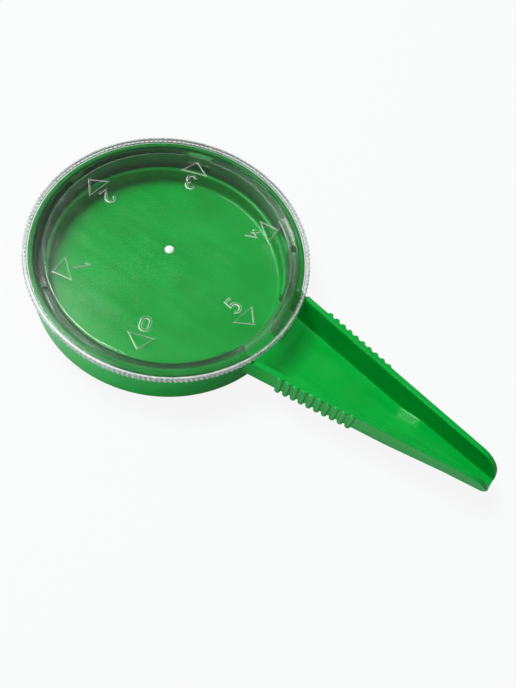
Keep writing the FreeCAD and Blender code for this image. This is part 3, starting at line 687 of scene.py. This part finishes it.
def raised_line(points, profile, closed):
    """Raised line that follows points on the plate's top."""
    data = bpy.data.curves.new("raised_line", "CURVE")
    data.dimensions = "3D"
    data.twist_mode = "Z_UP"
    data.bevel_mode = "OBJECT"
    data.bevel_object = profile
    data.use_fill_caps = True
    spline = data.splines.new("POLY")
    kept = [point for i, point in enumerate(points) if i == 0 or (point - points[i - 1]).length > SAME_POINT]
    if closed and (kept[0] - kept[-1]).length < SAME_POINT:
        kept.pop()
    spline.points.add(len(kept) - 1)
    for point, at in zip(spline.points, kept):
        point.co = (at.x, at.y, PLATE_TOP, 1)
    spline.use_cyclic_u = closed
    line = bpy.data.objects.new("raised_line", data)
    bpy.context.scene.collection.objects.link(line)
    return face_outwards(baked(line))


def dial_marks():
    """Raised triangles and numerals, as lists of pieces that don't touch inside each list."""
    profile = stroke_profile()
    layers = [[], []]
    corners = [Vector((x, y, 0)) for x, y in TRIANGLE]
    foot = Matrix.Translation((DIGIT_FOOT, 0, 0)) @ Matrix.Rotation(math.pi / 2, 4, "Z")
    shift = Matrix.Translation((-DIGIT_MIDDLE, 0, 0))
    for number in range(SETTINGS):
        turn = setting_turn(number)
        layers[0].append(moved(raised_line(corners, profile, True), turn))
        for layer, steps in zip(layers, NUMERALS[number]):
            points = stroke_points(steps)
            loop = (points[0] - points[-1]).length < SAME_POINT
            layer.append(moved(raised_line(points, profile, loop), turn @ foot @ shift))
    bpy.data.objects.remove(profile)
    return layers


def finish_of(across, along, height, facing):
    """Number of a face's finish. The gate mark is a mark all over, and raised lines only on their sides,
    where the whitish mark finish is a painted glint.
    """
    radius = math.hypot(across, along)
    if radius > FROST_RADIUS:
        return KNURL
    if height > PLATE_TOP + 0.02:
        return MARK if radius < GATE_RADIUS + 0.1 or facing < FLANK_FACING else PLATE
    return SKIRT if RIM_START < radius < SKIRT_SPAN[1] and height < SKIRT_TOP else PLATE


def share_finishes(dial):
    """Give each face of the placed dial its finish."""
    for face in dial.data.polygons:
        across, along, height = face.center / MM
        face.material_index = finish_of(across - AXIS_PLACE, along, height, face.normal.z)


def clear_dial(plate, knurl, marks, skirt):
    """The lid: plate, lip and skirt with its windows, raised marks and knurled edge."""
    dial = lathe("dial", rounded_line(DIAL_OUTLINE, 4), KNURL_TEETH * STEPS_PER_TOOTH)
    dial = combine(dial, joined("windows", [window_cutter(number) for number in WINDOWS]), "DIFFERENCE")
    layers = dial_marks()
    layers[0].append(lathe("gate_mark", [Vector(point) for point in GATE_OUTLINE], GATE_STEPS))
    for layer in layers:
        dial = combine(dial, joined("marks", layer), "UNION")
    dial = use_tree(dial, knurl_tree(), {"Teeth": KNURL_TEETH, "Depth": KNURL_DEPTH, "Radius": DIAL_RADIUS,
                                         "Edge": KNURL_EDGE, "Material": plate})
    dial = place(soften(face_outwards(dial), DIAL_SMOOTH), "clear_dial", plate, knurl, marks, skirt)
    share_finishes(dial)
    return dial


# ---- finishes ----

def new_material(name):
    """Material with an empty node tree."""
    material = bpy.data.materials.new(name)
    material.use_nodes = True
    material.node_tree.nodes.clear()
    return material


def finish_material(material, shader):
    """Use a shader as a material's surface."""
    output = material.node_tree.nodes.new("ShaderNodeOutputMaterial")
    material.node_tree.links.new(shader, output.inputs["Surface"])
    return material


def new_group(name, inputs, outputs):
    """Shader node group with named numbers in (label, value) and out, and its two end nodes."""
    group = bpy.data.node_groups.new(name, "ShaderNodeTree")
    for label, value in inputs:
        group.interface.new_socket(label, in_out="INPUT", socket_type="NodeSocketFloat").default_value = value
    for label in outputs:
        group.interface.new_socket(label, in_out="OUTPUT", socket_type="NodeSocketFloat")
    return group, group.nodes.new("NodeGroupInput"), group.nodes.new("NodeGroupOutput")


def use_group(tree, group, **values):
    """A group placed in a material with its own values."""
    node = add_node(tree, "ShaderNodeGroup", node_tree=group)
    for label, value in values.items():
        node.inputs[label].default_value = value
    return node.outputs


def millimetres(tree):
    """Spot on the piece, in millimetres."""
    spot = add_node(tree, "ShaderNodeTexCoord").outputs["Object"]
    return add_node(tree, "ShaderNodeVectorMath", {0: spot, 1: (1 / MM, 1 / MM, 1 / MM)},
                    operation="MULTIPLY").outputs["Vector"]


def stretched(tree, spot, scales, turn=(0.0, 0.0, 0.0)):
    """Spot with its axes turned and scaled, for a pattern that runs one way."""
    return add_node(tree, "ShaderNodeMapping", {"Vector": spot, "Rotation": turn, "Scale": scales},
                    vector_type="POINT").outputs["Vector"]


def noise(tree, spot, scale, detail=2.0):
    """Value of a soft random pattern."""
    return add_node(tree, "ShaderNodeTexNoise", {"Vector": spot, "Scale": scale, "Detail": detail}).outputs[0]


def eased_range(tree, value, low, high):
    """0 at a low limit and 1 at a high one, with a smooth step between them."""
    return add_node(tree, "ShaderNodeMapRange", {"Value": value, "From Min": low, "From Max": high},
                    interpolation_type="SMOOTHSTEP").outputs["Result"]


def blended(tree, share, first, second):
    """Colour between two colours."""
    return add_node(tree, "ShaderNodeMix", {0: share, 6: first, 7: second}, data_type="RGBA").outputs[2]


def moulded_skin():
    """Skin of a moulding: fine grain and soft waves as a height, and streaks where the plastic flowed."""
    group, given, result = new_group("moulded_skin", (("Grain", 0.3), ("Wave", 7.0)), ("Height", "Flow"))
    spot = millimetres(group)
    grain = noise(group, spot, maths(group, "DIVIDE", 1.0, given.outputs["Grain"]), 3.0)
    waves = noise(group, spot, maths(group, "DIVIDE", 1.0, given.outputs["Wave"]), 1.0)
    height = maths(group, "ADD", maths(group, "MULTIPLY", grain, 0.12), waves)
    streaks = noise(group, stretched(group, spot, (0.05, 0.5, 0.35)), 1.0, 3.0)
    patches = noise(group, spot, 0.09, 2.0)
    flow = maths(group, "MULTIPLY_ADD", streaks, 0.6, maths(group, "MULTIPLY", patches, 0.4))
    group.links.new(height, result.inputs["Height"])
    group.links.new(eased_range(group, flow, 0.35, 0.65), result.inputs["Flow"])
    return group


def edge_wear_and_highlight():
    """Mask along edges that hands have rubbed, broken up by patches; on the green plastic it also lays
    painted highlight lines along the rims.
    """
    group, given, result = new_group("edge_wear_and_highlight", (("Width", 0.3), ("Patch", 3.0)), ("Mask",))
    reach = maths(group, "MULTIPLY", given.outputs["Width"], MM)
    rounded = add_node(group, "ShaderNodeBevel", {"Radius": reach}, samples=4).outputs["Normal"]
    plain = add_node(group, "ShaderNodeNewGeometry").outputs["Normal"]
    facing = add_node(group, "ShaderNodeVectorMath", {0: rounded, 1: plain}, operation="DOT_PRODUCT")
    edge = eased_range(group, facing.outputs["Value"], 0.995, 0.85)
    patch = noise(group, millimetres(group), maths(group, "DIVIDE", 1.0, given.outputs["Patch"]), 3.0)
    mask = maths(group, "MULTIPLY", edge, eased_range(group, patch, 0.35, 0.6))
    group.links.new(mask, result.inputs["Mask"])
    return group


def scratch_lines(group, spot, turn, given):
    """Thin lines along one direction that come and go."""
    across = stretched(group, spot, (0.12, 1.0, 0.6), (0.3, 0.2, turn))
    cells = add_node(group, "ShaderNodeTexVoronoi",
                     {"Vector": across, "Scale": maths(group, "DIVIDE", 1.0, given.outputs["Spacing"])},
                     feature="DISTANCE_TO_EDGE").outputs["Distance"]
    line = eased_range(group, cells, 0.03, 0.0)
    stretches = noise(group, stretched(group, spot, (0.3, 0.3, 0.3), (0.0, 0.0, turn)), 1.0)
    return maths(group, "MULTIPLY", line, eased_range(group, stretches, 0.5, 0.62))


def fine_scratches():
    """Mask of hair-thin scratches in two directions."""
    group, given, result = new_group("fine_scratches", (("Spacing", 2.2), ("Amount", 1.0)), ("Mask",))
    spot = millimetres(group)
    one_way = scratch_lines(group, spot, 0.5, given)
    other_way = scratch_lines(group, spot, -0.9, given)
    both = maths(group, "MAXIMUM", one_way, other_way)
    group.links.new(maths(group, "MULTIPLY", both, given.outputs["Amount"]), result.inputs["Mask"])
    return group


def settled_dust():
    """Mask of dust that lies on faces that look up, in patches and specks."""
    group, given, result = new_group("settled_dust", (("Amount", 1.0), ("Speck", 0.35)), ("Mask",))
    spot = millimetres(group)
    normal = add_node(group, "ShaderNodeNewGeometry").outputs["Normal"]
    upward = add_node(group, "ShaderNodeSeparateXYZ", {"Vector": normal}).outputs["Z"]
    film = eased_range(group, noise(group, spot, 0.12, 4.0), 0.45, 0.75)
    fineness = maths(group, "DIVIDE", 1.0, given.outputs["Speck"])
    speck = add_node(group, "ShaderNodeTexVoronoi", {"Vector": spot, "Scale": fineness}).outputs["Distance"]
    specks = maths(group, "MULTIPLY", eased_range(group, speck, 0.16, 0.08),
                   eased_range(group, noise(group, spot, 0.4), 0.55, 0.7))
    both = maths(group, "MAXIMUM", maths(group, "MULTIPLY", film, 0.35), specks)
    lying = maths(group, "MULTIPLY", eased_range(group, upward, 0.4, 0.95), both)
    group.links.new(maths(group, "MULTIPLY", lying, given.outputs["Amount"]), result.inputs["Mask"])
    return group


def finish_groups():
    """The effects that the finishes share, each built once."""
    return {"skin": moulded_skin(), "wear_and_highlight": edge_wear_and_highlight(), "scratches": fine_scratches(),
            "dust": settled_dust()}


def summed(tree, base, *shares):
    """A number plus masks, each times its own weight."""
    total = base
    for mask, weight in shares:
        total = maths(tree, "MULTIPLY_ADD", mask, weight, total)
    return total


def relief(tree, height, strength, distance):
    """Normal of a fine relief; the distance is in millimetres."""
    return add_node(tree, "ShaderNodeBump", {"Height": height, "Strength": strength,
                                             "Distance": distance * MM}).outputs["Normal"]


def green_plastic(groups):
    """Glossy green polypropylene."""
    material = new_material("green_polypropylene")
    tree = material.node_tree
    skin = use_group(tree, groups["skin"], Grain=0.3, Wave=7.0)
    wear_and_highlight = use_group(tree, groups["wear_and_highlight"], Width=0.3, Patch=3.0)["Mask"]
    scratches = use_group(tree, groups["scratches"], Spacing=1.6, Amount=0.35)["Mask"]
    dust = use_group(tree, groups["dust"], Amount=0.4, Speck=0.3)["Mask"]
    colour = blended(tree, skin["Flow"], GREEN_DEEP, GREEN_BRIGHT)
    # Lighter green along the edges: partly rubbed wear, partly a painted highlight line on the rims.
    colour = blended(tree, maths(tree, "MULTIPLY", wear_and_highlight, 0.75), colour, GREEN_RUBBED_AND_HIGHLIGHT)
    colour = blended(tree, maths(tree, "MULTIPLY", dust, 0.16), colour, GREEN_DUSTY)
    roughness = summed(tree, 0.14, (skin["Flow"], 0.06), (scratches, 0.2), (dust, 0.3), (wear_and_highlight, 0.06))
    height = summed(tree, skin["Height"], (scratches, -0.15), (dust, 0.1))
    shader = add_node(tree, "ShaderNodeBsdfPrincipled",
                      {"Base Color": colour, "Roughness": roughness, "IOR": POLYPROPYLENE_IOR,
                       "Specular IOR Level": 0.3, "Normal": relief(tree, height, 0.35, 0.12)})
    return finish_material(material, shader.outputs["BSDF"])


def rim_share(tree):
    """0 in the dial's flat plate and 1 in its skirt and rim, whose curves spread the light that they pass."""
    from_axis = add_node(tree, "ShaderNodeVectorMath", {0: millimetres(tree), 1: (-AXIS_PLACE, 0.0, 0.0)},
                         operation="ADD").outputs["Vector"]
    flat = add_node(tree, "ShaderNodeVectorMath", {0: from_axis, 1: (1.0, 1.0, 0.0)}, operation="MULTIPLY")
    radius = add_node(tree, "ShaderNodeVectorMath", {0: flat.outputs["Vector"]}, operation="LENGTH")
    return eased_range(tree, radius.outputs["Value"], RIM_START, RIM_START + 0.6)


def clear_plastic(groups, name, smooth, through):
    """Clear polystyrene that passes lamplight, with smudges and scratches.

    smooth is its least roughness, and through is the share of light that it lets pass.
    """
    material = new_material(name)
    tree = material.node_tree
    skin = use_group(tree, groups["skin"], Grain=1.4, Wave=9.0)
    scratches = use_group(tree, groups["scratches"], Spacing=2.4, Amount=0.3)["Mask"]
    dust = use_group(tree, groups["dust"], Amount=0.3, Speck=0.3)["Mask"]
    tint = blended(tree, skin["Flow"], CLEAR_DEEP, CLEAR_BRIGHT)
    roughness = summed(tree, smooth, (skin["Flow"], 0.04), (scratches, 0.25), (dust, 0.25))
    shader = add_node(tree, "ShaderNodeBsdfPrincipled",
                      {"Base Color": tint, "Roughness": roughness, "IOR": POLYSTYRENE_IOR,
                       "Transmission Weight": through, "Normal": relief(tree, skin["Height"], 0.15, 0.06)})
    lost = add_node(tree, "ShaderNodeFresnel", {"IOR": POLYSTYRENE_IOR}).outputs["Fac"]
    let_through = blended(tree, rim_share(tree), PLATE_LIGHT, RIM_LIGHT)
    passing = add_node(tree, "ShaderNodeBsdfTransparent",
                       {"Color": blended(tree, lost, let_through, GLANCING_LIGHT)})
    path = add_node(tree, "ShaderNodeLightPath")
    light = maths(tree, "MAXIMUM", path.outputs["Is Shadow Ray"], path.outputs["Is Diffuse Ray"])
    mixed = add_node(tree, "ShaderNodeMixShader", {"Fac": light})
    tree.links.new(shader.outputs["BSDF"], mixed.inputs[1])
    tree.links.new(passing.outputs["BSDF"], mixed.inputs[2])
    return finish_material(material, mixed.outputs["Shader"])


def frosted_plastic(groups, name, colours, through):
    """The same plastic where it is matte; through is the share of light that it lets pass."""
    material = new_material(name)
    tree = material.node_tree
    skin = use_group(tree, groups["skin"], Grain=0.25, Wave=4.0)
    wear_and_highlight = use_group(tree, groups["wear_and_highlight"], Width=0.2, Patch=2.0)["Mask"]
    colour = blended(tree, skin["Flow"], *colours)
    colour = blended(tree, maths(tree, "MULTIPLY", wear_and_highlight, 0.4), colour, MATTE_RUBBED)
    roughness = summed(tree, 0.22, (skin["Flow"], 0.12), (wear_and_highlight, 0.1))
    shader = add_node(tree, "ShaderNodeBsdfPrincipled",
                      {"Base Color": colour, "Roughness": roughness, "IOR": POLYSTYRENE_IOR,
                       "Transmission Weight": through, "Normal": relief(tree, skin["Height"], 0.4, 0.08)})
    return finish_material(material, shader.outputs["BSDF"])


# ---- studio ----

def add_camera():
    """Camera above the spout's near side."""
    data = bpy.data.cameras.new("studio_camera")
    data.lens = CAMERA_LENS
    camera = bpy.data.objects.new("studio_camera", data)
    bpy.context.scene.collection.objects.link(camera)
    turn = Matrix((CAMERA_RIGHT, CAMERA_UP, CAMERA_BACK)).transposed()
    camera.matrix_world = Matrix.Translation(CAMERA_PLACE) @ turn.to_4x4()
    bpy.context.scene.camera = camera


def add_softbox(name, spot, target, width, height, power):
    """Rectangular area lamp that faces a target."""
    data = bpy.data.lights.new(name, "AREA")
    data.shape = "RECTANGLE"
    data.size = width
    data.size_y = height
    data.energy = power
    lamp = bpy.data.objects.new(name, data)
    bpy.context.scene.collection.objects.link(lamp)
    lamp.location = spot
    lamp.rotation_euler = (Vector(target) - Vector(spot)).to_track_quat("-Z", "Y").to_euler()


def white_share(tree, straight, through, mirrored):
    """Share of plain white for rays that see a surface straight, through glass, or mirrored."""
    path = add_node(tree, "ShaderNodeLightPath")
    shares = [maths(tree, "MULTIPLY", path.outputs[kind], share)
              for kind, share in (("Is Camera Ray", straight), ("Is Transmission Ray", through),
                                  ("Is Glossy Ray", mirrored))]
    return maths(tree, "MAXIMUM", maths(tree, "MAXIMUM", shares[0], shares[1]), shares[2])


def add_world():
    """Surroundings that are white where they are seen and give little light."""
    world = bpy.data.worlds.new("studio_world")
    world.use_nodes = True
    tree = world.node_tree
    tree.nodes.clear()
    seen = white_share(tree, *WORLD_WHITE)
    strength = maths(tree, "MAXIMUM", seen, WORLD_LIGHT)
    background = add_node(tree, "ShaderNodeBackground", {"Color": WHITE, "Strength": strength})
    output = tree.nodes.new("ShaderNodeOutputWorld")
    tree.links.new(background.outputs["Background"], output.inputs["Surface"])
    bpy.context.scene.world = world


def add_floor():
    """White floor that still shows soft shadows."""
    half = FLOOR_SIZE / 2
    corners = [(-half, -half, 0), (half, -half, 0), (half, half, 0), (-half, half, 0)]
    floor = mesh_object("studio_floor", corners, [(0, 1, 2, 3)])
    material = new_material("white_floor")
    tree = material.node_tree
    matte = add_node(tree, "ShaderNodeBsdfDiffuse", {"Color": FLOOR_COLOUR})
    white = add_node(tree, "ShaderNodeEmission", {"Color": WHITE, "Strength": 1.0})
    mixed = add_node(tree, "ShaderNodeMixShader", {"Fac": white_share(tree, *FLOOR_WHITE)})
    tree.links.new(matte.outputs["BSDF"], mixed.inputs[1])
    tree.links.new(white.outputs["Emission"], mixed.inputs[2])
    floor.data.materials.append(finish_material(material, mixed.outputs["Shader"]))


def main():
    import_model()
    bpy.context.scene.view_settings.view_transform = "Standard"
    add_camera()
    add_world()
    add_floor()
    for softbox in SOFTBOXES:
        add_softbox(*softbox)
    skins = finish_groups()
    body = green_body(green_plastic(skins))
    knurl = frosted_plastic(skins, "knurl_polystyrene", KNURL_COLOURS, 0.45)
    # Whitish matte finish of the raised marks, a painted glint.
    marks = frosted_plastic(skins, "mark_glint_polystyrene", MARK_GLINT_COLOURS, 0.15)
    plate = clear_plastic(skins, "clear_polystyrene", 0.05, 1.0)
    skirt = clear_plastic(skins, "skirt_polystyrene", 0.12, 0.93)
    dial = clear_dial(plate, knurl, marks, skirt)
    for piece, node in ((body, "sower_body"), (dial, "size_dial")):
        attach(piece, node)
        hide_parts(node)


main()
